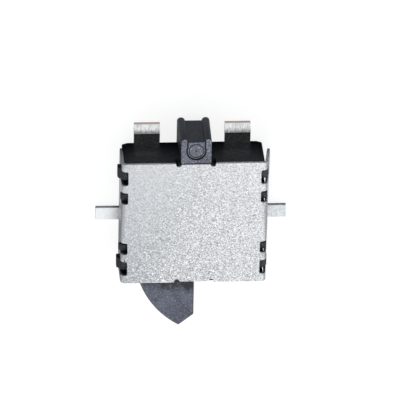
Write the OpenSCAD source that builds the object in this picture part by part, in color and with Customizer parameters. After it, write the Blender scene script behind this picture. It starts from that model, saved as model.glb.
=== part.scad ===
// Surface-mount detector switch with a shark-fin lever.
// It lies on its solder feet: z = 0 is the board, +Z leaves the steel cover,
// +Y is the terminal side and the fin of the lever leaves the body towards -Y.
// Angles are in degrees and every length is in millimetres.

/* [Body] */
// Width of the body over the steel cover
body_w = 4.5; // [4.4:0.05:5.2]
// Length of the body from the lever wall to the terminal wall
body_l = 4.1; // [4.05:0.05:4.8]
// Height from the board to the outer face of the cover
body_h = 1.6; // [1.55:0.05:2.0]
// Gap between the board and the underside of the moulding
standoff = 0.05; // [0.02:0.01:0.1]
// Thickness of the moulded floor
floor_t = 0.35; // [0.3:0.01:0.4]
// Thickness of the moulded side walls
side_wall = 0.325; // [0.25:0.025:0.35]
// Thickness of the moulded wall on the terminal side
terminal_wall = 0.48; // [0.45:0.01:0.6]
// Thickness of the moulded wall that the fin passes through
lever_wall = 0.28; // [0.2:0.02:0.3]
// How far the moulded end walls stay behind the edges of the cover
end_inset = 0.02; // [0.01:0.01:0.05]
// Width and depth of the slanted corners of the terminal wall
corner_w = 0.17; // [0.12:0.01:0.25]
corner_in = 0.05; // [0.03:0.01:0.08]
// Depth and half-length of the relief in the sides, behind the middle of the flanges
relief_in = 0.09; // [0.05:0.01:0.12]
relief_half = 0.66; // [0.5:0.01:0.66]

/* [Cover] */
// Thickness of the steel sheet
sheet_t = 0.08; // [0.06:0.01:0.1]
// Clearance between the sheet and the moulding
cover_fit = 0.005; // [0.005:0.001:0.02]
// Outer radius of the folds
fold_r = 0.15; // [0.12:0.01:0.2]
// How far the flanges reach below the outer face
flange_drop = 1.23; // [1.1:0.01:1.3]
// How far the right flange springs outwards, in degrees
flange_splay = 7; // [0:0.5:10]
// Radius at the free corners of the flanges, and at the right one beside the terminals
flange_corner_r = 0.12; // [0.05:0.01:0.2]
flange_tip_r = 0.35; // [0.2:0.01:0.36]
// How far the openings at the folds reach in from the sides
opening_in = 0.2; // [0.18:0.01:0.25]
// Length of a claw window, its distance from mid-length and its lower edge
window_l = 0.45; // [0.4:0.01:0.5]
window_y = 1.545; // [1.5:0.005:1.56]
window_low = 0.9; // [0.8:0.01:0.95]
// Length of a lug slot, its distance from mid-length and its lower edge
slot_l = 0.37; // [0.3:0.01:0.4]
slot_y = 0.865; // [0.8:0.005:0.9]
slot_low = 1.15; // [1.1:0.01:1.2]
// Radius in the corners of the openings
opening_r = 0.05; // [0.02:0.01:0.06]
// Radius of the relief notches in the end edges, and half their spacing
notch_r = 0.08; // [0.05:0.01:0.1]
notch_x = 0.53; // [0.5:0.01:0.6]
// Depth of the pockets in the moulding under the relief notches beside the block
notch_deep = 0.3; // [0.1:0.05:0.35]
// How far the edge between two notches is cut back
edge_in = 0.03; // [0.01:0.01:0.05]

/* [Claws and lugs] */
// Depth of the pockets that the claws and lugs stand in, measured from the side
pocket_in = 0.14; // [0.1:0.01:0.16]
// Drop from the top of the side wall to the flat top of a claw or lug
hook_drop = 0.14; // [0.1:0.01:0.16]
// Length of the claws and of the lugs, and how far each sits from the middle of its opening
claw_l = 0.36; // [0.3:0.01:0.38]
lug_l = 0.22; // [0.18:0.01:0.26]
claw_shift = 0.03; // [0:0.01:0.04]
lug_shift = -0.06; // [-0.07:0.01:0]
// How far the left and the right claws stand out past the cover's side
left_claw_out = 0.105; // [0.08:0.005:0.13]
right_claw_out = 0.045; // [0.03:0.005:0.13]
// How far the lugs stand out, and the left one by the lever
lug_out = 0.02; // [0:0.005:0.04]
left_lug_out = 0.06; // [0:0.005:0.08]
// Height of the upright nose of the claws and of the lugs
claw_nose = 0.23; // [0.15:0.01:0.3]
lug_nose = 0.08; // [0.05:0.01:0.1]
// Gap under the claws and lugs, above the lower edges of their openings
hook_gap = 0.04; // [0.02:0.01:0.06]

/* [Cradle block] */
// Width of the block, its offset from the middle and its reach past the terminal wall
block_w = 0.94; // [0.9:0.01:0.96]
block_x = 0.03; // [0:0.01:0.05]
block_out = 0.85; // [0.7:0.01:1.0]
// Width and depth of the channel between its two arms
channel_w = 0.48; // [0.44:0.01:0.52]
channel_deep = 0.11; // [0.08:0.01:0.15]
// Radius of the U-shaped line on its front, and of the ring inside it
u_mark_r = 0.29; // [0.27:0.01:0.31]
ring_mark_r = 0.225; // [0.15:0.005:0.23]
// Width and depth of the U-shaped line, and of the ring and the dot
u_mark_w = 0.045; // [0.02:0.005:0.05]
ring_mark_w = 0.02; // [0.01:0.005:0.03]
mark_deep = 0.07; // [0.02:0.01:0.08]
// Distance from the channel floor to the centre of the marks
mark_drop = 0.295; // [0.28:0.005:0.31]

/* [Terminals] */
// Thickness of the terminal strip
strip_t = 0.15; // [0.1:0.01:0.2]
// Width of a terminal and the distance between the two centres
terminal_w = 0.8; // [0.6:0.05:0.9]
terminal_pitch = 2.8; // [2.6:0.05:3.0]
// How far the terminals stand out past the cover, and how much of that is pressed down
terminal_out = 0.65; // [0.5:0.05:0.9]
terminal_foot = 0.3; // [0.2:0.02:0.4]
// Width of a terminal inside the moulding
strip_w = 0.5; // [0.4:0.05:0.6]
// Gap in the moulding between a terminal and an anchor
strip_gap = 0.115; // [0.08:0.005:0.2]
// Width of the side anchors, their reach past the cover and their place along the body
anchor_w = 0.4; // [0.3:0.05:0.5]
anchor_out = 0.7; // [0.5:0.05:0.9]
anchor_y = -0.355; // [-0.45:0.005:-0.25]
// Depth of the anchors inside the moulding, where their bend begins and how far they rise there
anchor_in = 0.4; // [0.35:0.01:0.45]
anchor_bend = 0.06; // [0.04:0.01:0.1]
anchor_rise = 0.14; // [0.1:0.01:0.15]

/* [Lever] */
// Place of the pivot: right of the middle, and inwards from the lever wall's outer face
pivot_x = 0.96; // [0.9:0.01:1.05]
pivot_in = 0.685; // [0.68:0.005:0.75]
// Radius of the lever's curved flank about the pivot
flank_r = 2.73; // [2.6:0.01:2.75]
// Direction of the fin's tip seen from the pivot
tip_angle = 240; // [236:1:242]
// Place of the fin's straight edge, right of the middle
fin_x = 0.06; // [0:0.01:0.12]
// How far the corner under the straight edge stands out past the lever wall
fin_corner_out = 1.315; // [1.1:0.005:1.4]
// Direction of the lever's inner edge seen from the pivot
inner_angle = 178; // [176:1:180]
// Thickness of the lever's plate and the height of its underside
lever_t = 0.65; // [0.5:0.01:0.68]
lever_low = 0.6; // [0.58:0.01:0.65]
// Clearance between the lever and the slot that it passes through
lever_fit = 0.04; // [0.03:0.01:0.08]
// Radius of the hub, of the pivot post and the running clearance between them
hub_r = 0.36; // [0.34:0.01:0.38]
post_r = 0.2; // [0.15:0.01:0.22]
post_fit = 0.03; // [0.02:0.005:0.05]
// End play of the hub between floor and cover
hub_play = 0.015; // [0.01:0.005:0.03]

/* [Return spring] */
// Wire diameter and mean radius of the coil
wire_d = 0.07; // [0.05:0.005:0.08]
coil_r = 0.35; // [0.345:0.005:0.38]
// Whole turns of the coil
coil_turns = 3; // [2:1:3]
// Depth of the seat that the coil sinks into the lever
seat_deep = 0.13; // [0.12:0.01:0.2]
// Depth of the fixed leg's end in the lever wall
leg_in = 0.12; // [0.08:0.01:0.15]

/* [Contacts] */
// Thickness of the moving contact
contact_t = 0.05; // [0.03:0.01:0.06]
// Width of its fingers
finger_w = 0.18; // [0.12:0.01:0.22]
// Distance of the outer and the inner finger from the pivot, across the body
outer_finger_x = 1.95; // [1.85:0.01:2.0]
inner_finger_x = 1.25; // [1.2:0.01:1.3]
// Distance of the finger tips from the pivot, along the body
outer_finger_y = 0.565; // [0.5:0.005:0.6]
inner_finger_y = 0.395; // [0.36:0.005:0.45]
// Gap left between the finger tips and the tracks
touch_gap = 0.01; // [0.005:0.005:0.02]
// Place of the two studs across the line through the pivot
stud_y = -0.13; // [-0.16:0.01:-0.1]
// Width of the fixed tracks that the fingers sweep
track_w = 0.4; // [0.3:0.02:0.44]
// Turn of the lever that closes the contact, and its full turn
closing_angle = 15; // [10:1:20]
full_angle = 45; // [40:1:46]

/* [Hidden] */
$fn = 64;

lap = 0.01;                 // overlap of the solids that are joined into one
seam = 0.001;               // overlap of the flat and the folds of the sheet
base_w = body_w - 2 * (sheet_t + cover_fit);
base_half = base_w / 2;
end_y = body_l / 2 - end_inset;            // outer face of both moulded end walls
base_top = body_h - sheet_t - cover_fit;
floor_top = standoff + floor_t;
room_half = base_half - side_wall;         // inside half-width of the moulding
room_front = -end_y + lever_wall;          // inner face of the lever wall
room_back = end_y - terminal_wall;         // inner face of the terminal wall
flange_low = body_h - flange_drop;
relief_top = body_h - fold_r - sheet_t;    // top of the relief, under the folds
pivot_y = -end_y + pivot_in;
lever_top = lever_low + lever_t;
hub_low = floor_top + hub_play;
hub_top = base_top - hub_play;
seat_z = lever_top - seat_deep;
block_end = end_y + block_out;
channel_y = block_end - channel_deep;
mark_y = channel_y - mark_drop;
strip_x = base_half - anchor_in - strip_gap - strip_w / 2;   // terminals inside the floor
terminal_bend = 0.12;       // from the wall's outer face to the bend of a terminal
outer_track_r = norm([outer_finger_x, outer_finger_y]);
inner_track_r = norm([inner_finger_x, inner_finger_y]);
outer_touch = 180 - atan(outer_finger_y / outer_finger_x);
inner_touch = 180 - atan(inner_finger_y / inner_finger_x);
track_end = 5;              // run of a track past the last place of its finger
peg_r = 0.07;
peg_x = 0.61;               // distance of the spring's peg from the pivot
stud_r = 0.07;
stud_fit = 0.01;
stud_out = 0.03;            // how far the studs stand out under the moving contact
plate_back = room_front + lever_fit - pivot_y;   // contact's edge towards the lever wall
plate_front = 0.02;                              // contact's edge that the fingers leave
finger_root = 0.05;         // run of a finger inside the plate, and from it to the bend
finger_bend = 0.04;
finger_curl = 0.06;         // upturned end of a finger
coil_play = 0.035;          // between the coil and the hub's core inside it
seat_play = 0.06;           // between the coil and the seat around it
coil_gap = 0.01;            // under and over the coil
core_r = coil_r - wire_d / 2 - coil_play;
seat_r = coil_r + wire_d / 2 + seat_play;
left_link_turn = 14;        // turn from a track's touching point or end to its link
right_link_turn = 4;
u_narrow = 0.93;            // half-width between the U's straight lines over its radius

// ---------- shared shapes ----------

// A rectangle with round corners about the origin, w by l
module round_rect(w, l, r) {
    square([w - 2 * r, l], center = true);
    square([w, l - 2 * r], center = true);
    for (sx = [-1, 1], sy = [-1, 1])
        translate([sx * (w / 2 - r), sy * (l / 2 - r)]) circle(r);
}

// A flat ring sector between two directions seen from the origin
module ring_sector(r, w, from, to) {
    far = 2 * r;
    intersection() {
        difference() {
            circle(r + w / 2);
            circle(r - w / 2);
        }
        polygon([[0, 0], far * [cos(from), sin(from)],
                 far * [cos((from + to) / 2), sin((from + to) / 2)],
                 far * [cos(to), sin(to)]]);
    }
}

// A strip bent up by 45 degrees, drawn as (distance outwards, height)
function bent_strip(outer, bend, inner, rise, t) =
    let (k = t * tan(22.5))
    [[outer, 0], [bend, 0], [bend - rise, rise], [inner, rise],
     [inner, rise + t], [bend - rise + k, rise + t], [bend + k, t], [outer, t]];

// The same strip with its outer end pressed down by drop over the length foot
function pressed_strip(outer, foot, drop, bend, inner, rise, t) =
    concat([[outer, 0], [outer - foot, drop]],
           [for (i = [1 : 6]) bent_strip(outer, bend, inner, rise, t)[i] + [0, drop]],
           [[outer - foot, t + drop], [outer, t]]);

// ---------- moulded base ----------

// One claw or lug on the right side: a flat top that slopes down to an upright nose
module hook(y, l, out, low, nose) {
    tip = body_w / 2 + out;
    hook_top = base_top - hook_drop;
    translate([0, y + l / 2, 0])
        rotate([90, 0, 0])
            linear_extrude(l)
                polygon([[base_half - pocket_in - lap, low], [tip, low], [tip, low + nose],
                         [base_half, hook_top], [base_half - pocket_in - lap, hook_top]]);
}

// Claws and lugs of the right side; the lug by the lever has its own reach
module side_hooks(claw_out, lever_lug_out) {
    for (end = [-1, 1]) {
        hook(end * window_y + claw_shift, claw_l, claw_out, window_low + hook_gap, claw_nose);
        hook(end * slot_y + lug_shift, lug_l, end > 0 ? lug_out : lever_lug_out,
             slot_low + hook_gap, lug_nose);
    }
}

// Pockets behind the openings of the right side, and the shallow relief between them
module side_pockets() {
    for (end = [-1, 1]) {
        translate([base_half - pocket_in, end * window_y - window_l / 2, window_low])
            cube([pocket_in + lap, window_l, body_h]);
        translate([base_half - pocket_in, end * slot_y - slot_l / 2, slot_low])
            cube([pocket_in + lap, slot_l, body_h]);
    }
    translate([base_half - relief_in, -relief_half, standoff - lap])
        cube([relief_in + lap, 2 * relief_half, relief_top - standoff + lap]);
}

// Pockets under the relief notches beside the block
module notch_pockets() {
    for (s = [-1, 1])
        translate([block_x + s * notch_x, body_l / 2 - edge_in, base_top - notch_deep])
            cylinder(r = notch_r, h = body_h);
}

// Outline of the cradle block seen from above
module block_outline() {
    arm_w = (block_w - channel_w) / 2;
    arm_r = arm_w / 2;
    translate([block_x, 0]) {
        translate([-block_w / 2, end_y - lap]) square([block_w, channel_y - end_y + lap]);
        for (side = [-1, 1])
            translate([side * (block_w - arm_w) / 2, 0]) {
                translate([-arm_w / 2, channel_y - lap])
                    square([arm_w, channel_deep - arm_r + lap]);
                translate([0, block_end - arm_r]) circle(arm_r);
            }
    }
}

// U-shaped line, ring and dot moulded into the front of the block
module block_marks() {
    u_half = u_narrow * u_mark_r;
    translate([block_x, mark_y, body_h - mark_deep]) {
        linear_extrude(2 * mark_deep) {
            difference() {
                union() {
                    circle(u_mark_r + u_mark_w / 2);
                    translate([-u_half - u_mark_w / 2, 0])
                        square([2 * u_half + u_mark_w, 2 * mark_drop]);
                }
                circle(u_mark_r - u_mark_w / 2);
                translate([-u_half + u_mark_w / 2, 0])
                    square([2 * u_half - u_mark_w, 2 * mark_drop]);
            }
        }
        translate([0, 0, mark_deep / 2])
            linear_extrude(2 * mark_deep)
                difference() {
                    circle(ring_mark_r + ring_mark_w / 2);
                    circle(ring_mark_r - ring_mark_w / 2);
                }
        translate([0, 0, mark_deep / 2]) cylinder(r = ring_mark_w, h = 2 * mark_deep);
    }
}

// Slot for the fin, its left end concentric with the lever's flank
module fin_slot() {
    right = fin_x + lever_fit;
    slot_z = lever_low - 2 * lever_fit;
    intersection() {
        translate([pivot_x, pivot_y, slot_z]) cylinder(r = flank_r + lever_fit, h = body_h);
        translate([-base_w, -end_y - body_l, slot_z])
            cube([base_w + right, body_l + lever_wall + lap, body_h]);
    }
}

// Slanted corners of the terminal wall
module wall_corners() {
    for (side = [-1, 1])
        translate([0, 0, -body_h])
            linear_extrude(3 * body_h)
                polygon([[side * (base_half - corner_w), end_y + lap],
                         [side * (base_half - corner_w), end_y],
                         [side * base_half, end_y - corner_in],
                         [side * (base_half + lap), end_y - corner_in],
                         [side * (base_half + lap), end_y + lap]]);
}

module base() color([0.16, 0.16, 0.19]) {
    difference() {
        union() {
            difference() {
                translate([-base_half, -end_y, standoff])
                    cube([base_w, 2 * end_y, base_top - standoff]);
                wall_corners();
                side_pockets();
                mirror([1, 0, 0]) side_pockets();
                translate([-room_half, room_front, floor_top])
                    cube([2 * room_half, room_back - room_front, body_h]);
                fin_slot();
            }
            side_hooks(right_claw_out, lug_out);
            mirror([1, 0, 0]) side_hooks(left_claw_out, left_lug_out);
            translate([0, 0, standoff]) linear_extrude(body_h - standoff) block_outline();
            translate([pivot_x, pivot_y, floor_top - lap])
                cylinder(r = post_r, h = base_top - floor_top + lap);
        }
        block_marks();
        notch_pockets();
        left_terminal_shape();
        right_terminal_shape();
        anchor_shape();
        mirror([1, 0, 0]) anchor_shape();
        translate([pivot_x + coil_r - wire_d, room_front - leg_in - wire_d, seat_z])
            cube([2 * wire_d, leg_in + wire_d + lap, body_h]);
    }
}

// ---------- folded cover ----------

// Fold and flange of the right side, seen along the body
module side_fold(splay) {
    in_r = fold_r - sheet_t;
    translate([body_w / 2 - fold_r, body_h - fold_r]) {
        intersection() {
            difference() {
                circle(fold_r);
                circle(in_r);
            }
            polygon([[0, 0], [0, 2 * fold_r], [2 * fold_r, 2 * fold_r],
                     2 * fold_r * [cos(splay), sin(splay)]]);
        }
        rotate(splay)
            translate([in_r, -flange_drop])
                square([sheet_t, flange_drop + seam]);
    }
}

// What a larger radius takes off the right flange's free corner beside the terminals
module flange_tip(r) {
    translate([body_w / 2 - fold_r, body_l / 2 - r, flange_low + r])
        rotate([90, 0, 90])
            linear_extrude(body_w)
                difference() {
                    translate([0, -r - lap]) square(r + lap);
                    circle(r);
                }
}

// Opening over one fold, from the outer face down to the height low
module fold_opening(side, y, l, low) {
    reach = opening_in + fold_r + sheet_t;
    translate([side * (body_w / 2 - opening_in + reach / 2), y, low])
        linear_extrude(body_h)
            round_rect(reach, l, opening_r);
}

module cover() color([0.82, 0.83, 0.84]) {
    face_half = body_w / 2 - fold_r;
    difference() {
        intersection() {
            translate([0, body_l / 2, 0])
                rotate([90, 0, 0])
                    linear_extrude(body_l) {
                        translate([-face_half - seam, body_h - sheet_t])
                            square([2 * (face_half + seam), sheet_t]);
                        side_fold(flange_splay);
                        mirror([1, 0]) side_fold(0);
                    }
            // round free corners of the flanges
            translate([-body_w, 0, flange_low + body_h / 2])
                rotate([90, 0, 90])
                    linear_extrude(2 * body_w)
                        round_rect(body_l, body_h, flange_corner_r);
        }
        flange_tip(flange_tip_r);
        for (side = [-1, 1], end = [-1, 1]) {
            fold_opening(side, end * window_y, window_l, window_low);
            fold_opening(side, end * slot_y, slot_l, slot_low);
        }
        for (end = [-1, 1]) {
            edge_y = end * (body_l / 2 - edge_in);
            for (s = [-1, 1])
                translate([block_x + s * notch_x, edge_y, body_h / 2])
                    cylinder(r = notch_r, h = body_h);
            translate([block_x - notch_x, end > 0 ? edge_y : edge_y - body_l, body_h / 2])
                cube([2 * notch_x, body_l, body_h]);
        }
    }
}

// ---------- lever ----------

// A point on the line from a to b, beyond b
function beyond(a, b) = b + (b - a) / 2;

// Outline of the plate and the fin about the pivot
module lever_outline() {
    reach = 1.2 * flank_r;
    hub_side = [0, hub_r];
    inner_end = flank_r * [cos(inner_angle), sin(inner_angle)];
    tip = flank_r * [cos(tip_angle), sin(tip_angle)];
    corner = [fin_x - pivot_x, -end_y - fin_corner_out - pivot_y];
    root = [fin_x - pivot_x, room_front + lever_fit - pivot_y];
    intersection() {
        circle(flank_r);
        polygon([hub_side, beyond(hub_side, inner_end), [-reach, -reach],
                 beyond(corner, tip), corner, root,
                 [0, max(root[1], -hub_r)], [0, 0]]);
    }
    circle(hub_r);
}

module lever() color([0.24, 0.25, 0.29]) {
    translate([pivot_x, pivot_y, 0])
        difference() {
            union() {
                difference() {
                    translate([0, 0, lever_low]) linear_extrude(lever_t) lever_outline();
                    translate([0, 0, seat_z]) cylinder(r = seat_r, h = body_h);
                }
                translate([0, 0, hub_low]) cylinder(r = hub_r, h = seat_z - hub_low);
                translate([0, 0, seat_z - lap]) cylinder(r = core_r, h = hub_top - seat_z + lap);
                // peg that the spring's free leg presses on
                translate([-peg_x, coil_r - wire_d / 2 - peg_r, lever_top - lap])
                    cylinder(r = peg_r, h = hub_top - lever_top + lap);
                // studs that carry the moving contact
                for (x = [outer_finger_x, inner_finger_x])
                    translate([-x, stud_y, lever_low - contact_t - stud_out])
                        cylinder(r = stud_r, h = contact_t + stud_out + lap);
            }
            translate([0, 0, -body_h]) cylinder(r = post_r + post_fit, h = 3 * body_h);
        }
}

// ---------- moving contact ----------

// Side view of a finger that touches at the distance y from the pivot
module finger(y) {
    t = contact_t;
    low = floor_top + touch_gap;
    root = plate_front - finger_root;
    bend = plate_front + finger_bend;
    end = y + finger_curl;
    rotate([90, 0, 90])
        translate([0, 0, -finger_w / 2])
            linear_extrude(finger_w)
                polygon([[root, lever_low], [bend, lever_low], [y, low + t],
                         [end, low + t + finger_curl], [end, low + finger_curl], [y, low],
                         [bend, lever_low - t], [root, lever_low - t]]);
}

module moving_contact() color([0.85, 0.66, 0.38]) {
    plate_left = -outer_finger_x - finger_w;
    plate_w = outer_finger_x - inner_finger_x + 2 * finger_w;
    translate([pivot_x, pivot_y, 0]) {
        difference() {
            translate([plate_left, plate_back, lever_low - contact_t])
                cube([plate_w, plate_front - plate_back, contact_t]);
            for (x = [outer_finger_x, inner_finger_x])
                translate([-x, stud_y, 0]) cylinder(r = stud_r + stud_fit, h = body_h);
        }
        translate([-outer_finger_x, 0, 0]) finger(outer_finger_y);
        translate([-inner_finger_x, 0, 0]) finger(inner_finger_y);
    }
}

// ---------- return spring ----------

coil_z0 = seat_z + wire_d / 2 + coil_gap;
coil_z1 = hub_top - wire_d / 2 - coil_gap;
coil_sweep = 360 * coil_turns + 90;
steps_a_turn = 20;
coil_steps = floor(coil_sweep / 360 * steps_a_turn);

// Centre line of the wire about the pivot: fixed leg, coil, free leg
function wire_path() = concat(
    [[coil_r, room_front - leg_in - pivot_y, coil_z0]],
    [for (i = [0 : coil_steps])
        let (a = i * coil_sweep / coil_steps)
        [coil_r * cos(a), coil_r * sin(a), coil_z0 + (coil_z1 - coil_z0) * i / coil_steps]],
    [[-peg_x - peg_r, coil_r, coil_z1]]);

// A round tube along a nearly level path, as one closed polyhedron
module level_tube(path, d, sides) {
    last = len(path) - 1;
    function heading(i) =
        let (v = path[min(i + 1, last)] - path[max(i - 1, 0)])
        [v[0], v[1], 0] / norm([v[0], v[1]]);
    points = [for (i = [0 : last], s = [0 : sides - 1])
        let (h = heading(i), a = 360 * s / sides)
        path[i] + d / 2 * [h[1] * cos(a), -h[0] * cos(a), sin(a)]];
    walls = [for (i = [0 : last - 1], s = [0 : sides - 1])
        let (n = (s + 1) % sides)
        [i * sides + s, i * sides + n, (i + 1) * sides + n, (i + 1) * sides + s]];
    caps = [[for (s = [sides - 1 : -1 : 0]) s],
            [for (s = [0 : sides - 1]) last * sides + s]];
    polyhedron(points, concat(walls, caps), convexity = 8);
}

module return_spring() color([0.75, 0.76, 0.78])
    translate([pivot_x, pivot_y, 0]) level_tube(wire_path(), wire_d, 8);

// ---------- terminals and anchors ----------

// Foot and bend of one terminal, from outside to the moulding's floor
module terminal_foot_shape(x) {
    translate([x - terminal_w / 2, 0, 0])
        rotate([90, 0, 90])
            linear_extrude(terminal_w)
                polygon(pressed_strip(body_l / 2 + terminal_out, terminal_foot, standoff,
                                      end_y - terminal_bend, room_back - lap,
                                      floor_top - strip_t - standoff, strip_t));
}

// Flat part of a terminal in the floor, from a plan drawing
module floor_strip() {
    translate([0, 0, floor_top - strip_t]) linear_extrude(strip_t) children();
}

module left_terminal_shape() {
    x = -strip_x;
    link_angle = outer_touch - left_link_turn;
    link = [pivot_x, pivot_y] + outer_track_r * [cos(link_angle), sin(link_angle)];
    terminal_foot_shape(-terminal_pitch / 2);
    floor_strip() {
        translate([x - strip_w / 2, link[1] - strip_w / 2])
            square([strip_w, room_back - link[1] + strip_w / 2]);
        translate([x - strip_w / 2, link[1] - strip_w / 2])
            square([link[0] - x + strip_w / 2, strip_w]);
        translate([pivot_x, pivot_y])
            ring_sector(outer_track_r, track_w, outer_touch - full_angle - track_end,
                        outer_touch + track_end);
    }
}

module right_terminal_shape() {
    x = strip_x;
    link_angle = inner_touch - full_angle - track_end + right_link_turn;
    link = [pivot_x, pivot_y] + inner_track_r * [cos(link_angle), sin(link_angle)];
    link_w = 0.8 * track_w;
    terminal_foot_shape(terminal_pitch / 2);
    floor_strip() {
        translate([x - strip_w / 2, link[1] - link_w / 2])
            square([strip_w, room_back - link[1] + link_w / 2]);
        translate([link[0], link[1] - link_w / 2])
            square([x - link[0], link_w]);
        translate([pivot_x, pivot_y])
            ring_sector(inner_track_r, track_w, inner_touch - full_angle - track_end,
                        inner_touch - closing_angle);
    }
}

module left_terminal() color([0.80, 0.79, 0.77]) left_terminal_shape();

module right_terminal() color([0.80, 0.79, 0.77]) right_terminal_shape();

// Right-hand solder anchor, bent up inside the moulding
module anchor_shape() {
    translate([0, anchor_y + anchor_w / 2, 0])
        rotate([90, 0, 0])
            linear_extrude(anchor_w)
                polygon(bent_strip(body_w / 2 + anchor_out, base_half - anchor_bend,
                                   base_half - anchor_in, anchor_rise, strip_t));
}

module right_anchor() color([0.80, 0.79, 0.77]) anchor_shape();

module left_anchor() color([0.80, 0.79, 0.77]) mirror([1, 0, 0]) anchor_shape();

base();
cover();
lever();
return_spring();
moving_contact();
left_terminal();
right_terminal();
left_anchor();
right_anchor();
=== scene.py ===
"""Surface-mount detector switch: finish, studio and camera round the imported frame.

Shapes are made in millimetres, in the frame of the part: z = 0 is the board, +Z leaves the
steel cover and +Y is the terminal side. They are scaled to metres once they are finished.
"""
import math

import bmesh
import bpy
from mathutils import Matrix, Vector


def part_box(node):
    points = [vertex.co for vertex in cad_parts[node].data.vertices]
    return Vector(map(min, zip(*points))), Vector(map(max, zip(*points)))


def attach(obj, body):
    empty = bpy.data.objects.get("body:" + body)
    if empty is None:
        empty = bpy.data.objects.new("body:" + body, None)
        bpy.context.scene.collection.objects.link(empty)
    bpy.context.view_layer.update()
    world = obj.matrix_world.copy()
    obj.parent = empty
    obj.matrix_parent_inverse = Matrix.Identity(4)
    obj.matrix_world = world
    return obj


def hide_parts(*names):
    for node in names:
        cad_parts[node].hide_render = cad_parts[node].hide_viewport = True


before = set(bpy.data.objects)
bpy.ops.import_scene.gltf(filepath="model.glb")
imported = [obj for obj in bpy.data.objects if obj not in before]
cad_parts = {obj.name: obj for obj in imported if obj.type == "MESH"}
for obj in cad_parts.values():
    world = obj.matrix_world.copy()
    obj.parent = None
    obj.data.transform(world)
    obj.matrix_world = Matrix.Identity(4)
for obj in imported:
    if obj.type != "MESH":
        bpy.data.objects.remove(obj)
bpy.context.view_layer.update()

MM = 0.001                    # one millimetre, in metres


def box_mm(node):
    """Lowest and highest corner of a CAD node, in millimetres."""
    low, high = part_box(node)
    return Vector(low) / MM, Vector(high) / MM


# ---------------------------------------------------------------- sizes, in millimetres

# The base stands off the board on the feet. Its floor, the sheet and the gap under it set the room inside.
STANDOFF = 0.05
FLOOR_TOP = 0.40
SHEET = 0.08
COVER_FIT = 0.005
END_INSET = 0.02

# The cover's folds, and the lowest height and the corner radii of its flanges
FOLD_R = 0.15
FOLD_STEPS = 12
FLANGE_LOW, FLANGE_R, FLANGE_TIP_R = 0.37, 0.12, 0.35

cover_low, cover_high = box_mm("cover")
BODY_L = cover_high.y - cover_low.y
BODY_H = cover_high.z
BODY_W = 4.5
HALF_W = BODY_W / 2
BASE_HALF = HALF_W - SHEET - COVER_FIT
BASE_TOP = BODY_H - SHEET - COVER_FIT
END_Y = BODY_L / 2 - END_INSET

# The right flange springs out more at the terminal end than at the lever end, so it is cut into short flats.
SPLAY_TERMINAL_END = math.radians(8.0)
SPLAY_LEVER_END = math.radians(4.8)
TWIST_CUTS = (0.15, 0.45, 0.865, 1.18, 1.545, 1.86)

# Openings over the folds: (distance from mid-length, length, lowest height)
CLAW_WINDOW = (1.545, 0.45, 0.90)
LUG_SLOT = (0.865, 0.37, 1.15)
OPENING_IN = 0.20
OPENING_R = 0.05

# Relief notches at both ends of the cover, and the pockets under those beside the block
NOTCH_X, NOTCH_R, NOTCH_DEEP, EDGE_IN = 0.53, 0.08, 0.30, 0.03

# Hooks that stand in the openings: (shift towards the terminals, length, height of the nose)
CLAW = (0.03, 0.36, 0.23)
LUG = (-0.06, 0.22, 0.08)
LEFT_CLAW_OUT, RIGHT_CLAW_OUT, LUG_OUT, LEFT_LUG_OUT = 0.105, 0.045, 0.02, 0.06
HOOK_GAP, HOOK_DROP, POCKET_IN = 0.04, 0.14, 0.14
RELIEF_IN, RELIEF_HALF = 0.09, 0.66

# Walls of the tray, and the slanted corners of its terminal wall
SIDE_WALL, TERMINAL_WALL, LEVER_WALL = 0.325, 0.48, 0.28
CORNER_W, CORNER_IN = 0.17, 0.05

# Cradle block with its channel, the groove at its foot and the marks on its front
BLOCK_X, BLOCK_W, BLOCK_OUT, BLOCK_DRAFT = 0.03, 0.94, 0.85, 0.07
CHANNEL_W, CHANNEL_DEEP, FOOT_GAP = 0.48, 0.11, 0.015
U_MARK_R, U_MARK_W, U_NARROW = 0.29, 0.055, 0.93
RING_MARK_R, RING_MARK_W = 0.225, 0.025
MARK_DEEP, MARK_DROP = 0.07, 0.295
MARK_Y = END_Y + BLOCK_OUT - CHANNEL_DEEP - MARK_DROP

# Lever: the fin's flank is an arc about the pivot, which ends short of the fin's tip
PIVOT = Vector((0.96, -END_Y + 0.685))
FLANK_R = 2.73
TIP_ANGLE, INNER_ANGLE, TIP_SHORT = math.radians(240), math.radians(178), math.radians(2)
FIN_X = 0.06
FIN_CORNER_OUT, FIN_CORNER_R = 1.315, 0.05
LEVER_LOW, LEVER_T, LEVER_FIT = 0.60, 0.65, 0.04
HUB_R, POST_R, BORE_R, CORE_R = 0.36, 0.20, 0.23, 0.28
SEAT_R, SEAT_Z = 0.445, 1.12
HUB_PLAY = 0.015
HUB_LOW, HUB_TOP = FLOOR_TOP + HUB_PLAY, BASE_TOP - HUB_PLAY
PEG_X, PEG_Y, PEG_R = -0.61, 0.245, 0.07      # the spring's peg, from the pivot

# Edge radii
COVER_EDGE, BASE_EDGE, LEVER_EDGE, STRIP_EDGE, CONTACT_EDGE = 0.022, 0.014, 0.06, 0.04, 0.008

# How far joined solids run into each other, and cutters run past what they cut
LAP, ROOT, SPARE, ROOM_SPARE = 0.02, 0.05, 0.01, 0.002
PAST, WELL_PAST = 0.1, 1.0
CUT_LOW, CUT_HIGH = -0.5, 2.5                 # heights of a cutter that goes right through the part

SMALL = 1e-6                                  # points closer than this count as one
SHARP = math.radians(50)                      # edges that turn by more stay sharp


# ---------------------------------------------------------------- outlines

def arc(centre, radius, start, end, steps):
    """Points along an arc, both ends included. Angles are in radians."""
    turn = (end - start) / steps
    return [(centre[0] + radius * math.cos(start + turn * i),
             centre[1] + radius * math.sin(start + turn * i)) for i in range(steps + 1)]


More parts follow.
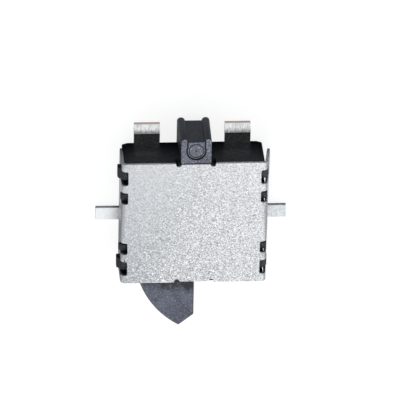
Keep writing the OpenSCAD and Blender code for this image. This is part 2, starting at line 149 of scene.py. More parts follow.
def rounded(corners, steps=6):
    """A closed outline from (x, y, radius) corners, each turned into an arc that is tangent to both sides."""
    points = []
    count = len(corners)
    for i, (x, y, radius) in enumerate(corners):
        here = Vector((x, y))
        if radius <= 0:
            points.append((x, y))
            continue
        to_last = (Vector(corners[i - 1][:2]) - here).normalized()
        to_next = (Vector(corners[(i + 1) % count][:2]) - here).normalized()
        half = to_last.angle(to_next) / 2
        start = here + to_last * (radius / math.tan(half))
        end = here + to_next * (radius / math.tan(half))
        centre = here + (to_last + to_next).normalized() * (radius / math.sin(half))
        first = math.atan2(start.y - centre.y, start.x - centre.x)
        last = math.atan2(end.y - centre.y, end.x - centre.x)
        turn = (last - first + math.pi) % (2 * math.pi) - math.pi
        points += arc(centre, radius, first, first + turn, steps)
    return points


def rounded_box(x0, y0, x1, y1, radius, steps=6):
    """A rectangle with round corners."""
    return rounded([(x0, y0, radius), (x1, y0, radius), (x1, y1, radius), (x0, y1, radius)], steps)


def along_z(a, b, height):
    """A point of an outline that is drawn from above."""
    return (a, b, height)


def along_y(a, b, height):
    """A point of an outline that is drawn from the terminal side."""
    return (a, height, b)


# ---------------------------------------------------------------- solids

def new_object(name, mesh):
    """An object that holds the mesh, linked into the scene."""
    made = bpy.data.objects.new(name, mesh)
    bpy.context.scene.collection.objects.link(made)
    return made


def from_bmesh(name, shape):
    """An object from a bmesh, with its normals pointing out."""
    bmesh.ops.recalc_face_normals(shape, faces=shape.faces)
    mesh = bpy.data.meshes.new(name)
    shape.to_mesh(mesh)
    shape.free()
    return new_object(name, mesh)


def prism(points, low, high, place=along_z):
    """A solid between two heights over a closed outline."""
    shape = bmesh.new()
    rings = [[shape.verts.new(place(a, b, height)) for a, b in points] for height in (low, high)]
    for ring in rings:
        shape.faces.new(ring)
    for i in range(len(points)):
        j = (i + 1) % len(points)
        shape.faces.new((rings[0][i], rings[0][j], rings[1][j], rings[1][i]))
    return from_bmesh("prism", shape)


def block(x0, y0, z0, x1, y1, z1):
    """A plain box between two corners."""
    return prism([(x0, y0), (x1, y0), (x1, y1), (x0, y1)], z0, z1)


def cylinder(x, y, radius, low, high, steps=48):
    """An upright cylinder."""
    return prism(arc((x, y), radius, 0, 2 * math.pi, steps)[:-1], low, high)


def bake(piece):
    """Turns a piece's modifiers into its mesh."""
    bpy.context.view_layer.update()
    evaluated = piece.evaluated_get(bpy.context.evaluated_depsgraph_get())
    mesh = bpy.data.meshes.new_from_object(evaluated)
    piece.modifiers.clear()
    old = piece.data
    piece.data = mesh
    bpy.data.meshes.remove(old)


def combine(piece, others, operation):
    """Joins the others to a piece (UNION) or cuts them out of it (DIFFERENCE), and removes them."""
    for other in others:
        step = piece.modifiers.new("combine", "BOOLEAN")
        step.operation = operation
        step.solver = "EXACT"
        step.object = other
        bake(piece)
        mesh = other.data
        bpy.data.objects.remove(other)
        bpy.data.meshes.remove(mesh)
    return piece


def round_edges(piece, width, steps, angle):
    """Rounds every edge that turns by more than the angle, in degrees, and bakes it."""
    edge = piece.modifiers.new("edge", "BEVEL")
    edge.width = width
    edge.segments = steps
    edge.limit_method = "ANGLE"
    edge.angle_limit = math.radians(angle)
    edge.use_clamp_overlap = False
    edge.miter_outer = "MITER_ARC"
    bake(piece)


def plane_of(face):
    """A key that all faces of one flat share: their normal and how far out they lie."""
    return (*(round(value, 3) for value in face.normal), round(face.normal.dot(face.center), 3))


def keep_flats(mesh, least_area=0.1):
    """Gives each large flat its own normal up to its edges, and lets the small faces blend into it."""
    mesh.shade_smooth()
    mesh.set_sharp_from_angle(angle=SHARP)
    areas = {}
    for face in mesh.polygons:
        areas[plane_of(face)] = areas.get(plane_of(face), 0.0) + face.area
    flats_at = {}
    for face in mesh.polygons:
        if areas[plane_of(face)] >= least_area:
            for vertex in face.vertices:
                flats_at.setdefault(vertex, []).append(face.normal.copy())
    normals = [corner.vector.copy() for corner in mesh.corner_normals]
    for face in mesh.polygons:
        for corner, vertex in zip(face.loop_indices, face.vertices):
            nearest = max(flats_at.get(vertex, []), key=face.normal.dot, default=None)
            if nearest is not None and nearest.dot(face.normal) > math.cos(SHARP):
                normals[corner] = nearest
    mesh.normals_split_custom_set(normals)


def settle(piece, name, node, slot, body, *materials):
    """Scales a finished piece to metres, gives it its looks and puts it in its CAD node's stead."""
    piece.name = piece.data.name = name
    keep_flats(piece.data)
    piece.data.transform(Matrix.Scale(MM, 4))
    piece.data.materials.clear()
    for material in materials:
        piece.data.materials.append(material)
    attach(piece, body)
    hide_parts(node)


# ---------------------------------------------------------------- node helpers

class Nodes:
    """A material's node tree, with short calls for the nodes that the finishes use."""

    def __init__(self, name):
        self.material = bpy.data.materials.new(name)
        self.material.use_nodes = True
        self.tree = self.material.node_tree
        self.shader = self.tree.nodes["Principled BSDF"]
        self.coordinates = self.tree.nodes.new("ShaderNodeTexCoord")
        to_mm = self.tree.nodes.new("ShaderNodeVectorMath")
        to_mm.operation = "SCALE"
        to_mm.inputs["Scale"].default_value = 1 / MM
        self.link(self.coordinates.outputs["Object"], to_mm.inputs[0])
        self.place = to_mm.outputs[0]

    def link(self, source, target):
        """Joins an output to an input."""
        self.tree.links.new(source, target)

    def set(self, **values):
        """Sets the shader's own sockets, with _ for a space."""
        for name, value in values.items():
            self.shader.inputs[name.replace("_", " ")].default_value = value

    def put(self, source, socket):
        """Joins an output to one of the shader's sockets."""
        self.link(source, self.shader.inputs[socket])

    def stretched(self, x, y, z):
        """The place, scaled along each axis."""
        node = self.tree.nodes.new("ShaderNodeMapping")
        node.inputs["Scale"].default_value = (x, y, z)
        self.link(self.place, node.inputs["Vector"])
        return node.outputs[0]

    def noise(self, scale, detail=2.0, roughness=0.5, vector=None, distortion=0.0):
        """Noise from 0 to 1 with that many cells to a millimetre."""
        node = self.tree.nodes.new("ShaderNodeTexNoise")
        node.inputs["Scale"].default_value = scale
        node.inputs["Detail"].default_value = detail
        node.inputs["Roughness"].default_value = roughness
        node.inputs["Distortion"].default_value = distortion
        self.link(vector or self.place, node.inputs["Vector"])
        return node.outputs["Fac"]

    def spread(self, value, low, high, to_low=0.0, to_high=1.0):
        """Maps low..high to to_low..to_high, smoothly and clamped."""
        node = self.tree.nodes.new("ShaderNodeMapRange")
        node.interpolation_type = "SMOOTHSTEP"
        for socket, number in (("From Min", low), ("From Max", high),
                               ("To Min", to_low), ("To Max", to_high)):
            node.inputs[socket].default_value = number
        self.link(value, node.inputs["Value"])
        return node.outputs["Result"]

    def maths(self, operation, a, b):
        """A maths node on two values, each a number or an output."""
        node = self.tree.nodes.new("ShaderNodeMath")
        node.operation = operation
        for socket, value in zip(node.inputs, (a, b)):
            if isinstance(value, (int, float)):
                socket.default_value = value
            else:
                self.link(value, socket)
        return node.outputs[0]

    def axis(self, letter):
        """One coordinate of the place, in millimetres."""
        node = self.tree.nodes.new("ShaderNodeSeparateXYZ")
        self.link(self.place, node.inputs[0])
        return node.outputs[letter]

    def facing(self, letter):
        """How far the surface faces along an axis: 1 along it, 0 edge-on and -1 against it."""
        node = self.tree.nodes.new("ShaderNodeSeparateXYZ")
        self.link(self.coordinates.outputs["Normal"], node.inputs[0])
        return node.outputs[letter]

    def mix(self, share, first, second):
        """Colour first where share is 0 and second where it is 1. Each is a colour or an output."""
        node = self.tree.nodes.new("ShaderNodeMix")
        node.data_type = "RGBA"
        self.link(share, node.inputs[0])
        for socket, colour in ((node.inputs[6], first), (node.inputs[7], second)):
            if isinstance(colour, tuple):
                socket.default_value = (*colour, 1)
            else:
                self.link(colour, socket)
        return node.outputs[2]

    def bump(self, height, depth):
        """Raises the surface by height times the depth, in millimetres."""
        node = self.tree.nodes.new("ShaderNodeBump")
        node.inputs["Strength"].default_value = 1.0
        node.inputs["Distance"].default_value = depth * MM
        self.link(height, node.inputs["Height"])
        self.put(node.outputs[0], "Normal")


# ---------------------------------------------------------------- finishes

BASE_COLOUR, BASE_DARK = (0.26, 0.28, 0.35), (0.085, 0.092, 0.118)
LEVER_COLOUR, LEVER_DARK = (0.245, 0.262, 0.350), (0.085, 0.095, 0.130)
STEEL_DIM, STEEL_BRIGHT = (0.36, 0.385, 0.42), (0.98, 0.98, 0.98)
TONE_MIDDLE = 0.36            # the sheet's tone where its mottle neither dims nor brightens it
TERMINAL_BRIGHT, TERMINAL_SATIN = (0.99, 0.985, 0.97), 0.06
ANCHOR_BRIGHT, ANCHOR_SATIN = (0.80, 0.83, 0.85), 0.28
# Painted light: the plating colour that makes the left anchor paler.
PAINTED_LIGHT_PLATING = (0.98, 0.98, 0.975)
COPPER, BARE_EDGE = (1.0, 0.66, 0.50), (1.0, 0.97, 0.95)


def moulded_plastic(name, colour, dark, specks_over, shade, lit):
    """Glass-filled plastic with a mottled grain and pale specks, and painted shade where shade(nodes) is.

    It has painted shade on the faces that aren't level, lightened by painted light where lit(nodes) is.
    """
    n = Nodes(name)
    n.set(Specular_IOR_Level=0.5)
    patches = n.spread(n.noise(1.6, 3.0, 0.6), 0.38, 0.62)
    grain = n.spread(n.noise(20.0, 2.0, 0.6, distortion=0.6), 0.36, 0.66)
    specks = n.spread(n.noise(23.0, 1.0), specks_over, specks_over + 0.10)
    pale = tuple(min(1.0, c * 2.1 + 0.03) for c in colour)
    # The colour that stands in for shade: painted shade in recesses and on faces that aren't level.
    painted_shade = tuple(c * 0.15 for c in dark)
    tone = n.maths("ADD", n.maths("MULTIPLY", patches, 0.35), n.maths("MULTIPLY", grain, 0.65))
    body = n.mix(specks, n.mix(tone, dark, colour), pale)
    body = n.mix(shade(n), body, painted_shade)
    # Painted shade on the faces that aren't level, paler where lit paints light on them.
    flank = n.mix(lit(n), painted_shade, tuple(c * 0.5 for c in dark))
    n.put(n.mix(n.spread(n.facing("Z"), 0.65, 0.99), flank, body), "Base Color")
    n.put(n.spread(n.noise(9.0), 0.3, 0.7, 0.42, 0.58), "Roughness")
    n.bump(n.maths("ADD", n.noise(30.0, 2.0), n.noise(9.0, 2.0)), 0.004)
    return n.material


def base_plastic():
    """The base's plastic has painted shade below the block's front: in its marks, on the claws and on the
    lugs. Painted light makes the block's upright faces paler.
    """
    def recess_shade(n):
        """The heights below the block's front, where shade is painted."""
        return n.spread(n.axis("Z"), BODY_H - 0.04, BODY_H - 0.005, 0.8, 0.0)

    def on_block(n):
        """The cradle block, which stands out past the terminal wall, where painted light makes the upright
        faces paler.
        """
        return n.spread(n.axis("Y"), END_Y + 0.02, END_Y + 0.15)

    return moulded_plastic("base_plastic", BASE_COLOUR, BASE_DARK, 0.58, recess_shade, on_block)


def lever_plastic():
    """The lever's plastic has painted shade beside the cover, most of all to the right."""
    def cover_shade_patches(n):
        """Painted shade from the cover, in cloudy patches that fade towards the fin's tip."""
        slant = n.maths("ADD", n.axis("Y"), n.maths("MULTIPLY", n.axis("X"), 0.12))
        # Painted shade, deepest beside the cover and to the right.
        near = n.spread(slant, -2.8, -2.1, 0.0, 0.42)
        return n.spread(n.maths("ADD", near, n.noise(4.0, 3.0, 0.65)), 0.52, 0.92)

    def everywhere(n):
        """All heights of the part."""
        return n.spread(n.axis("Z"), -1.0, 0.0)

    return moulded_plastic("lever_plastic", LEVER_COLOUR, LEVER_DARK, 0.66, cover_shade_patches, everywhere)


def rolled_steel():
    """Satin sheet with a worm-like mottle over faint rolling lines, rougher to its right, and a painted
    reflection that brightens it towards its right terminal corner.

    The mottle is weakest at its left terminal corner. The flanks are darkened with painted shade.
    """
    n = Nodes("rolled_steel")
    n.set(Metallic=1.0)
    grain = n.spread(n.noise(24.0, 2.5, 0.6, distortion=1.2), 0.36, 0.64)
    worms = n.spread(n.maths("ABSOLUTE", n.maths("SUBTRACT", n.noise(12.0, 2.0), 0.5), 0.0), 0.0, 0.07)
    tone = n.maths("ADD", n.maths("MULTIPLY", grain, 0.72), n.maths("MULTIPLY", worms, 0.28))
    slant = n.maths("SUBTRACT", n.axis("X"), n.maths("MULTIPLY", n.axis("Y"), 0.6))
    rough = n.spread(slant, -2.4, 1.8, 0.5, 2.0)
    tone = n.maths("MULTIPLY", n.maths("SUBTRACT", tone, TONE_MIDDLE), rough)
    tone = n.maths("ADD", tone, TONE_MIDDLE)
    # Painted reflection: brighter towards the right and towards the terminal end.
    across = n.maths("MULTIPLY", n.maths("ADD", n.axis("X"), n.axis("Y")), 0.055)
    colour = n.mix(n.maths("ADD", n.maths("ADD", tone, 0.04), across), STEEL_DIM, STEEL_BRIGHT)
    # Painted shade on the flanks, darkest on the left one.
    flank = n.maths("MAXIMUM", n.spread(n.facing("X"), 0.35, 0.75, 0.0, 0.6),
                    n.spread(n.facing("X"), -1.0, -0.85, 0.8, 0.0))
    n.put(n.mix(flank, colour, STEEL_DIM), "Base Color")
    lines = n.noise(1.0, 2.0, 0.6, vector=n.stretched(16.0, 2.2, 16.0))
    n.put(n.spread(grain, 0.0, 1.0, 0.44, 0.32), "Roughness")
    n.bump(n.maths("MULTIPLY", n.maths("ADD", grain, n.maths("MULTIPLY", lines, 0.3)),
                   n.maths("MINIMUM", rough, 1.0)), 0.005)
    return n.material


def sheared_steel():
    """The cut edge of the sheet: pale and torn, with fine lines through its thickness."""
    n = Nodes("sheared_steel")
    n.set(Metallic=0.8, Roughness=0.35)
    lines = n.noise(1.0, 2.0, 0.6, vector=n.stretched(30.0, 30.0, 5.0))
    n.put(n.mix(lines, (0.85, 0.77, 0.76), (1.0, 0.95, 0.94)), "Base Color")
    n.bump(lines, 0.003)
    return n.material


def plated_strip(name, bright, satin, end_y=None):
    """Bright plating over matt sides.

    An anchor is lightened with painted light to the left. A terminal has a painted dark reflection at its
    bend, with a streaky edge, and is cut bare at end_y.
    """
    n = Nodes(name)
    cloud = n.noise(9.0, 3.0, 0.6)
    scratches = n.noise(1.0, 2.0, 0.6, vector=n.stretched(28.0, 4.0, 28.0))
    tone = n.maths("ADD", n.maths("MULTIPLY", cloud, 0.5), n.maths("MULTIPLY", scratches, 0.5))
    tone = n.spread(tone, 0.38, 0.62)
    plating = n.mix(tone, tuple(0.7 * c for c in bright), bright)
    metallic = n.spread(n.facing("Z"), 0.3, 0.8, 0.1, 1.0)
    if end_y is None:
        # Painted light, which makes the left anchor paler than the right.
        plating = n.mix(n.spread(n.axis("X"), -3.0, 0.0, 0.6, 0.0), plating, PAINTED_LIGHT_PLATING)
    else:
        level = n.spread(n.facing("Z"), 0.3, 0.8)
        streaks = n.maths("ADD", n.axis("Y"), n.maths("MULTIPLY", scratches, 0.2))
        # Painted dark reflection of the wall at the bend, with a streaky edge towards the end.
        bend = n.maths("MULTIPLY", n.spread(n.axis("Y"), end_y - 0.36, end_y - 0.28),
                       n.spread(streaks, end_y - 0.20, end_y - 0.02, 1.0, 0.0))
        plating = n.mix(bend, n.mix(level, bright, plating), tuple(0.25 * c for c in bright))
        cut = n.maths("MINIMUM", n.spread(n.facing("Y"), 0.5, 0.8),
                      n.spread(n.axis("Y"), end_y - 0.10, end_y - 0.08))
        bare = n.mix(n.spread(n.axis("Z"), 0.07, 0.10), COPPER, BARE_EDGE)
        plating = n.mix(cut, plating, bare)
        metallic = n.maths("MAXIMUM", metallic, cut)
    n.put(plating, "Base Color")
    n.put(metallic, "Metallic")
    n.put(n.spread(cloud, 0.35, 0.65, satin, satin + 0.05), "Roughness")
    n.bump(n.maths("ADD", scratches, cloud), 0.001)
    return n.material


def spring_wire():
    """Drawn wire with faint lines round it."""
    n = Nodes("spring_wire")
    n.set(Metallic=1.0)
    cloud = n.noise(12.0, 2.0)
    n.put(n.mix(cloud, (0.58, 0.58, 0.60), (0.82, 0.82, 0.83)), "Base Color")
    n.put(n.spread(cloud, 0.3, 0.7, 0.22, 0.34), "Roughness")
    return n.material


def contact_strip():
    """Rolled copper alloy."""
    n = Nodes("contact_strip")
    n.set(Metallic=1.0)
    lines = n.noise(1.0, 2.0, 0.6, vector=n.stretched(24.0, 3.0, 24.0))
    n.put(n.mix(lines, (0.72, 0.47, 0.24), (0.90, 0.66, 0.36)), "Base Color")
    n.put(n.spread(lines, 0.3, 0.7, 0.22, 0.34), "Roughness")
    n.bump(lines, 0.002)
    return n.material


# ---------------------------------------------------------------- cover

def fold_place(across, along):
    """Where a point of the flat sheet's outer face goes once the sheet is folded."""
    side = 1 if across > 0 else -1
    start = HALF_W - FOLD_R
    past = abs(across) - start
    if past <= 0:
        return (across, along, BODY_H)
    turn = math.pi / 2 - splay_at(side, along)
    centre_z = BODY_H - FOLD_R
    angle = min(past / FOLD_R, turn)
    run = max(0.0, past - FOLD_R * turn)
    x = start + FOLD_R * math.sin(angle) + run * math.cos(turn)
    z = centre_z + FOLD_R * math.cos(angle) - run * math.sin(turn)
    return (side * x, along, z)


def splay_at(side, along):
    """How far a flange leans outwards at a place along the body."""
    if side < 0:
        return 0.0
    share = along / BODY_L + 0.5
    return SPLAY_LEVER_END + (SPLAY_TERMINAL_END - SPLAY_LEVER_END) * share


def across_at(side, height, along):
    """How far across the flat sheet a point lies that ends at this height on a flange."""
    splay = splay_at(side, along)
    turn = math.pi / 2 - splay
    fold_end = BODY_H - FOLD_R + FOLD_R * math.cos(turn)
    return HALF_W - FOLD_R + FOLD_R * turn + (fold_end - height) / math.sin(turn)


def end_outline(end):
    """One end edge of the flat sheet from left to right, with its corners, relief notches and cut-back."""
    edge = BODY_L / 2
    dip = math.asin(EDGE_IN / NOTCH_R)
    left = -across_at(-1, FLANGE_LOW, end * edge)
    right = across_at(1, FLANGE_LOW, end * edge)
    first, second = (BLOCK_X - NOTCH_X, edge - EDGE_IN), (BLOCK_X + NOTCH_X, edge - EDGE_IN)
    points = arc((left + FLANGE_R, edge - FLANGE_R), FLANGE_R, math.pi, math.pi / 2, 8)
    points += arc(first, NOTCH_R, math.pi - dip, 2 * math.pi, 16)
    points += arc(second, NOTCH_R, math.pi, 2 * math.pi + dip, 16)
    tip_r = FLANGE_TIP_R if end > 0 else FLANGE_R
    points += arc((right - tip_r, edge - tip_r), tip_r, math.pi / 2, 0, 12)
    return [(x, end * y) for x, y in points]


def opening_outline(side, end, middle, length, low):
    """An opening over one fold, on the flat sheet."""
    inner = HALF_W - OPENING_IN
    outer = across_at(side, low, end * middle)
    along = end * middle
    return rounded_box(side * inner, along - length / 2, side * outer, along + length / 2, OPENING_R)


def make_cover():
    """The cover: one flat sheet with its openings, folded along both sides."""
    outlines = [end_outline(-1) + end_outline(1)[::-1]]
    for side in (-1, 1):
        for end in (-1, 1):
            for window in (CLAW_WINDOW, LUG_SLOT):
                outlines.append(opening_outline(side, end, *window))
    shape = bmesh.new()
    for outline in outlines:
        ring = [shape.verts.new((x, y, 0)) for x, y in outline]
        for i, vert in enumerate(ring):
            shape.edges.new((vert, ring[(i + 1) % len(ring)]))
    bmesh.ops.triangle_fill(shape, edges=shape.edges[:], use_beauty=True, normal=(0, 0, 1))
    fold_start = HALF_W - FOLD_R
    fold_run = FOLD_R * math.pi / 2
    for side in (-1, 1):
        for step in range(-1, FOLD_STEPS + 2):
            across = side * (fold_start + fold_run * step / FOLD_STEPS)
            bmesh.ops.bisect_plane(shape, geom=shape.verts[:] + shape.edges[:] + shape.faces[:],
                                   dist=SMALL, plane_co=(across, 0, 0), plane_no=(1, 0, 0))
    for face in shape.faces:
        if face.normal.z < 0:
            face.normal_flip()
    for vert in shape.verts:
        vert.co = fold_place(vert.co.x, vert.co.y)
    bmesh.ops.dissolve_limit(shape, angle_limit=math.radians(0.5),
                             verts=shape.verts[:], edges=shape.edges[:])
    for along in (end * place for end in (-1, 1) for place in TWIST_CUTS):
        flank = [face for face in shape.faces if face.calc_center_median().x > HALF_W - SHEET / 2]
        parts = list(dict.fromkeys(part for face in flank for part in (face, *face.edges, *face.verts)))
        bmesh.ops.bisect_plane(shape, geom=parts, dist=SMALL, plane_co=(0, along, 0), plane_no=(0, 1, 0))
    mesh = bpy.data.meshes.new("cover")
    shape.to_mesh(mesh)
    shape.free()
    cover = new_object("cover", mesh)
    mesh.materials.append(None)
    mesh.materials.append(None)
    gauge = cover.modifiers.new("gauge", "SOLIDIFY")
    gauge.thickness = SHEET
    gauge.offset = -1
    gauge.use_even_offset = True
    gauge.material_offset_rim = 1
    bake(cover)
    round_edges(cover, COVER_EDGE, 3, 50)
    settle(cover, "cover_sheet", "cover", "cover_steel", "housing", rolled_steel(), sheared_steel())


# ---------------------------------------------------------------- base

def hook(side, along, length, out, low, nose):
    """A claw or lug: a flat top that slopes down to an upright nose."""
    tip = HALF_W + out
    root = BASE_HALF - POCKET_IN - LAP
    top = BASE_TOP - HOOK_DROP
    outline = [(root, low), (tip, low), (tip, low + nose), (BASE_HALF, top), (root, top)]
    return prism([(side * x, z) for x, z in outline], along - length / 2, along + length / 2, along_y)


def make_hooks():
    """The claws and lugs of both sides, each with its own reach."""
    hooks = []
    for side in (-1, 1):
        for end in (-1, 1):
            claw_out = RIGHT_CLAW_OUT if side > 0 else LEFT_CLAW_OUT
            lug_out = LEFT_LUG_OUT if (side, end) == (-1, -1) else LUG_OUT
            for (middle, _, low), (shift, length, nose), out in ((CLAW_WINDOW, CLAW, claw_out),
                                                                (LUG_SLOT, LUG, lug_out)):
                hooks.append(hook(side, end * middle + shift, length, out, low + HOOK_GAP, nose))
    return hooks


def side_pockets():
    """Cutters for the pockets behind the openings and the shallow relief between them."""
    cutters = []
    for side in (-1, 1):
        inner, outer = side * (BASE_HALF - POCKET_IN), side * (BASE_HALF + PAST)
        for end in (-1, 1):
            for middle, length, low in (CLAW_WINDOW, LUG_SLOT):
                y = end * middle
                cutters.append(block(min(inner, outer), y - length / 2, low,
                                     max(inner, outer), y + length / 2, BODY_H))
        inner = side * (BASE_HALF - RELIEF_IN)
        cutters.append(block(min(inner, outer), -RELIEF_HALF, -PAST,
                             max(inner, outer), RELIEF_HALF, BODY_H - FOLD_R - SHEET))
    return cutters


def cradle_outline():
    """The cradle block from above: a channel between two arms with round ends."""
    left, right = BLOCK_X - BLOCK_W / 2, BLOCK_X + BLOCK_W / 2
    top = END_Y + BLOCK_OUT
    floor = top - CHANNEL_DEEP
    arm_r = (BLOCK_W - CHANNEL_W) / 4
    root = END_Y - LAP
    inner = math.asin((floor - top + arm_r) / arm_r)
    outline = [(left, root), (right, root)]
    outline += arc((right - arm_r, top - arm_r), arm_r, 0, math.pi - inner, 16)
    outline += arc((left + arm_r, top - arm_r), arm_r, inner, math.pi, 16)
    return outline


def u_mark_outline(radius):
    """A round-bottomed U that opens into the channel."""
    centre = (BLOCK_X, MARK_Y)
    lean = math.acos(U_NARROW)
    half = radius * U_NARROW
    top = centre[1] + 2 * MARK_DROP
    top += U_MARK_R - radius
    outline = arc(centre, radius, math.pi - lean, 2 * math.pi + lean, 40)
    return outline + [(centre[0] + half, top), (centre[0] - half, top)]


def make_marks():
    """Cutters for the U-shaped line, the ring and the dot on the front of the block."""
    low, shallow, high = BODY_H - MARK_DEEP, BODY_H - MARK_DEEP / 2, BODY_H + PAST
    core = prism(u_mark_outline(U_MARK_R - U_MARK_W / 2), low - PAST, high + PAST)
    u_line = combine(prism(u_mark_outline(U_MARK_R + U_MARK_W / 2), low, high), [core], "DIFFERENCE")
    core = cylinder(BLOCK_X, MARK_Y, RING_MARK_R - RING_MARK_W / 2, low - PAST, high + PAST)
    ring = cylinder(BLOCK_X, MARK_Y, RING_MARK_R + RING_MARK_W / 2, shallow, high)
    combine(ring, [core], "DIFFERENCE")
    return [u_line, ring, cylinder(BLOCK_X, MARK_Y, RING_MARK_W, shallow, high, 16)]


def notch_pockets():
    """Cutters for the small pockets under the cover's relief notches beside the block."""
    return [cylinder(BLOCK_X + side * NOTCH_X, BODY_L / 2 - EDGE_IN, NOTCH_R + SPARE,
                     BASE_TOP - NOTCH_DEEP, BODY_H, 24) for side in (-1, 1)]


def make_base():
    """The moulded base: tray, claws, lugs, cradle block and pivot post in one piece."""
    body = block(-BASE_HALF, -END_Y, STANDOFF, BASE_HALF, END_Y, BASE_TOP)
    room = block(SIDE_WALL - BASE_HALF, LEVER_WALL - END_Y, FLOOR_TOP - ROOM_SPARE,
                 BASE_HALF - SIDE_WALL, END_Y - TERMINAL_WALL, BODY_H)
    slot_low = LEVER_LOW - 2 * LEVER_FIT
    slot = block(-BASE_HALF, -END_Y - WELL_PAST, slot_low - PAST,
                 FIN_X + LEVER_FIT, -END_Y + LEVER_WALL + SPARE, BODY_H + PAST)
    flank = cylinder(PIVOT.x, PIVOT.y, FLANK_R + LEVER_FIT, slot_low, BODY_H, 180)
    slot = combine(slot, [flank], "INTERSECT")
    corners = []
    for side in (-1, 1):
        outline = [(BASE_HALF - CORNER_W, END_Y + PAST), (BASE_HALF - CORNER_W, END_Y),
                   (BASE_HALF, END_Y - CORNER_IN), (BASE_HALF + PAST, END_Y - CORNER_IN),
                   (BASE_HALF + PAST, END_Y + PAST)]
        corners.append(prism([(side * x, y) for x, y in outline], CUT_LOW, CUT_HIGH))
    combine(body, [room, slot, *corners, *side_pockets(), *notch_pockets()], "DIFFERENCE")
    combine(body, make_hooks(), "UNION")
    cradle = prism(cradle_outline(), STANDOFF, BODY_H)
    for vertex in cradle.data.vertices:
        if vertex.co.z < BODY_H / 2:
            vertex.co.x += (vertex.co.x - BLOCK_X) * BLOCK_DRAFT
    foot = block(BLOCK_X - BLOCK_W, END_Y - PAST, BASE_TOP,
                 BLOCK_X + BLOCK_W, END_Y + FOOT_GAP, BODY_H + PAST)
    combine(cradle, [foot], "DIFFERENCE")
    combine(body, [cradle], "UNION")
    combine(body, [cylinder(PIVOT.x, PIVOT.y, POST_R, FLOOR_TOP - ROOT, BASE_TOP)], "UNION")
    round_edges(body, BASE_EDGE, 2, 25)
    combine(body, make_marks(), "DIFFERENCE")
    settle(body, "base_moulding", "base", "base_plastic", "housing", base_plastic())


# ---------------------------------------------------------------- lever

def lever_plate_outline():
    """The plate and the fin: an arc about the pivot, the fin's two straight sides and the inner edge."""
    tip = PIVOT + FLANK_R * Vector((math.cos(TIP_ANGLE), math.sin(TIP_ANGLE)))
    corner = (FIN_X, -END_Y - FIN_CORNER_OUT)
    root_y = -END_Y + LEVER_WALL + LEVER_FIT
    hub_side = PIVOT + Vector((0, HUB_R))
    flank = arc(PIVOT, FLANK_R, INNER_ANGLE, TIP_ANGLE - TIP_SHORT, 60)
    outline = [(x, y, 0) for x, y in flank]
    outline += [(tip.x, tip.y, FIN_CORNER_R), (*corner, FIN_CORNER_R)]
    outline += [(FIN_X, root_y, 0), (PIVOT.x, root_y, 0)]
    outline += [(x, y, 0) for x, y in arc(PIVOT, HUB_R, -math.pi / 2, math.pi / 2, 24)[1:-1]]
    outline.append((hub_side.x, hub_side.y, 0))
    return rounded(outline)


def make_lever():
    """The lever: fin, plate, hub with its bore, and the spring's peg and seat."""
    plate = prism(lever_plate_outline(), LEVER_LOW, LEVER_LOW + LEVER_T)
    round_edges(plate, LEVER_EDGE, 4, 25)
    combine(plate, [cylinder(PIVOT.x, PIVOT.y, SEAT_R, SEAT_Z, BODY_H)], "DIFFERENCE")
    combine(plate, [cylinder(PIVOT.x, PIVOT.y, HUB_R, HUB_LOW, SEAT_Z),
                    cylinder(PIVOT.x, PIVOT.y, CORE_R, SEAT_Z - ROOT, HUB_TOP),
                    cylinder(PIVOT.x + PEG_X, PIVOT.y + PEG_Y, PEG_R, SEAT_Z, HUB_TOP, 24)], "UNION")
    combine(plate, [cylinder(PIVOT.x, PIVOT.y, BORE_R, 0, BODY_H + WELL_PAST)], "DIFFERENCE")
    settle(plate, "lever_moulding", "lever", "lever_plastic", "lever", lever_plastic())


# ---------------------------------------------------------------- pieces that keep their CAD shape

def dress(node, material, edge=0.0):
    """Gives a CAD node its finish, and small edge radii where edge is given."""
    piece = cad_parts[node]
    piece.data.materials.clear()
    piece.data.materials.append(material)
    if edge:
        bevel = piece.modifiers.new("edge", "BEVEL")
        bevel.width = edge * MM
        bevel.segments = 3
        bevel.limit_method = "ANGLE"
        bevel.angle_limit = math.radians(30)
        weights = piece.modifiers.new("normals", "WEIGHTED_NORMAL")
        weights.keep_sharp = True


def dress_strips():
    """Plates the terminals and the anchors."""
    end_y = box_mm("left_terminal")[1].y
    terminal = plated_strip("plated_terminal", TERMINAL_BRIGHT, TERMINAL_SATIN, end_y)
    anchor = plated_strip("plated_anchor", ANCHOR_BRIGHT, ANCHOR_SATIN)
    for node in ("left_terminal", "right_terminal"):
        dress(node, terminal, STRIP_EDGE)
    for node in ("left_anchor", "right_anchor"):
        dress(node, anchor, STRIP_EDGE)


# ---------------------------------------------------------------- studio

VIEW_WIDTH = 12.337           # width of the picture at the part, in millimetres
AIM = Vector((0.230, 0.393, 0.8))
RIGHT = Vector((0.99735, 0.01715, 0.07047))
UP = Vector((0.01619, 0.89446, -0.44686))
DISTANCE = 300.0

# Radius and height of the floor from its middle outwards, in metres
FLOOR_PROFILE = ((0.0001, 0.0), (0.06, 0.0), (0.22, 0.0), (0.27, 0.004), (0.30, 0.02), (0.32, 0.06),
                 (0.33, 0.4))
FLOOR_SIDES = 96
FLOOR_GREY, FLOOR_GLOW = 0.35, 0.84

CARD_COLOUR = (0.88, 0.92, 1.0)
DOME_COLOUR = (0.97, 0.985, 1.0, 1)
DOME_FROM = Vector((0.10, -0.93, 0.35))       # where the dome is brightest
DOME_DARK_AT, DOME_BRIGHT_AT, DOME_STRENGTH = -0.25, 0.70, 1.15


def make_camera():
    """A long lens over the terminal side, turned so that the terminals are at the top."""
    back = RIGHT.cross(UP).normalized()
    up = back.cross(RIGHT).normalized()
    data = bpy.data.cameras.new("camera")
    data.sensor_width = 36.0
    data.lens = data.sensor_width * DISTANCE / VIEW_WIDTH
    data.clip_start, data.clip_end = 0.01, 2.0
    camera = bpy.data.objects.new("camera", data)
    bpy.context.scene.collection.objects.link(camera)
    turn = Matrix((RIGHT.normalized(), up, back)).transposed()
    camera.matrix_world = Matrix.Translation((AIM + back * DISTANCE) * MM) @ turn.to_4x4()
    bpy.context.scene.camera = camera


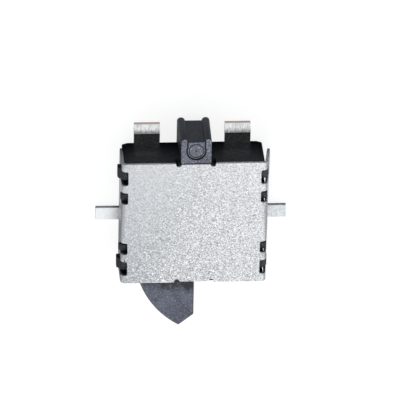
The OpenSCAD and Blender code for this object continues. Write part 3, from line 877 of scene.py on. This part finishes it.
def make_floor():
    """A pale floor that runs up into a round wall. It is seen, and it doesn't light the part."""
    shape = bmesh.new()
    rings = [[shape.verts.new((r * math.cos(a), r * math.sin(a), z))
              for a in (2 * math.pi * i / FLOOR_SIDES for i in range(FLOOR_SIDES))] for r, z in FLOOR_PROFILE]
    for low, high in zip(rings, rings[1:]):
        for i in range(FLOOR_SIDES):
            j = (i + 1) % FLOOR_SIDES
            shape.faces.new((low[i], low[j], high[j], high[i]))
    shape.faces.new(rings[0])
    mesh = bpy.data.meshes.new("floor")
    shape.to_mesh(mesh)
    shape.free()
    floor = new_object("floor", mesh)
    floor.data.shade_smooth()
    floor.visible_diffuse = False
    floor.visible_glossy = False
    floor.visible_shadow = False
    material = bpy.data.materials.new("pale_floor")
    material.use_nodes = True
    shader = material.node_tree.nodes["Principled BSDF"]
    shader.inputs["Base Color"].default_value = (FLOOR_GREY, FLOOR_GREY, FLOOR_GREY, 1)
    shader.inputs["Roughness"].default_value = 0.9
    shader.inputs["Specular IOR Level"].default_value = 0.0
    shader.inputs["Emission Color"].default_value = (1, 1, 1, 1)
    shader.inputs["Emission Strength"].default_value = FLOOR_GLOW
    mesh.materials.append(material)


def card(name, centre, facing, size, radiance):
    """A soft rectangular light, as bright as a card of that radiance. Lengths are in millimetres."""
    data = bpy.data.lights.new(name, "AREA")
    data.shape = "RECTANGLE"
    data.size, data.size_y = size[0] * MM, size[1] * MM
    data.energy = radiance * math.pi * data.size * data.size_y
    data.color = CARD_COLOUR
    light = bpy.data.objects.new(name, data)
    bpy.context.scene.collection.objects.link(light)
    light.location = Vector(centre) * MM
    light.rotation_mode = "QUATERNION"
    light.rotation_quaternion = (-Vector(facing)).to_track_quat("Z", "Y")
    light.visible_camera = False


def make_lights():
    """A pale dome, bright on the lever side and dim towards the terminals, and pale cards round the part.

    The cards on the floor are what the terminals' cut ends and the anchors' sides mirror. The far one
    lights the terminal wall and the rounded edges above it.
    """
    up, to_part = (0, 0, 1), (0, -0.89, -0.45)
    card("bounce", (0, 5.8, 0), up, (16.0, 6.4), 0.42)
    for side in (-1, 1):
        card("anchor_bounce", (side * 2.85, 0.35, 0), up, (0.9, 0.9), 0.6)
    card("edge_light", (0, 27.0, 13.5), to_part, (24.0, 8.0), 1.3)
    world = bpy.data.worlds.new("dome")
    bpy.context.scene.world = world
    world.use_nodes = True
    tree = world.node_tree
    back = tree.nodes["Background"]
    place = tree.nodes.new("ShaderNodeTexCoord")
    facing = tree.nodes.new("ShaderNodeVectorMath")
    facing.operation = "DOT_PRODUCT"
    facing.inputs[1].default_value = DOME_FROM.normalized()
    tree.links.new(place.outputs["Generated"], facing.inputs[0])
    ramp = tree.nodes.new("ShaderNodeMapRange")
    ramp.inputs["From Min"].default_value = DOME_DARK_AT
    ramp.inputs["From Max"].default_value = DOME_BRIGHT_AT
    ramp.inputs["To Min"].default_value = 0.0
    ramp.inputs["To Max"].default_value = DOME_STRENGTH
    tree.links.new(facing.outputs["Value"], ramp.inputs["Value"])
    back.inputs["Color"].default_value = DOME_COLOUR
    tree.links.new(ramp.outputs["Result"], back.inputs["Strength"])


def main():
    """Builds the scene."""
    bpy.context.scene.view_settings.view_transform = "Standard"
    make_camera()
    make_floor()
    make_lights()
    make_cover()
    make_base()
    make_lever()
    dress_strips()
    dress("moving_contact", contact_strip(), CONTACT_EDGE)
    dress("return_spring", spring_wire())


main()
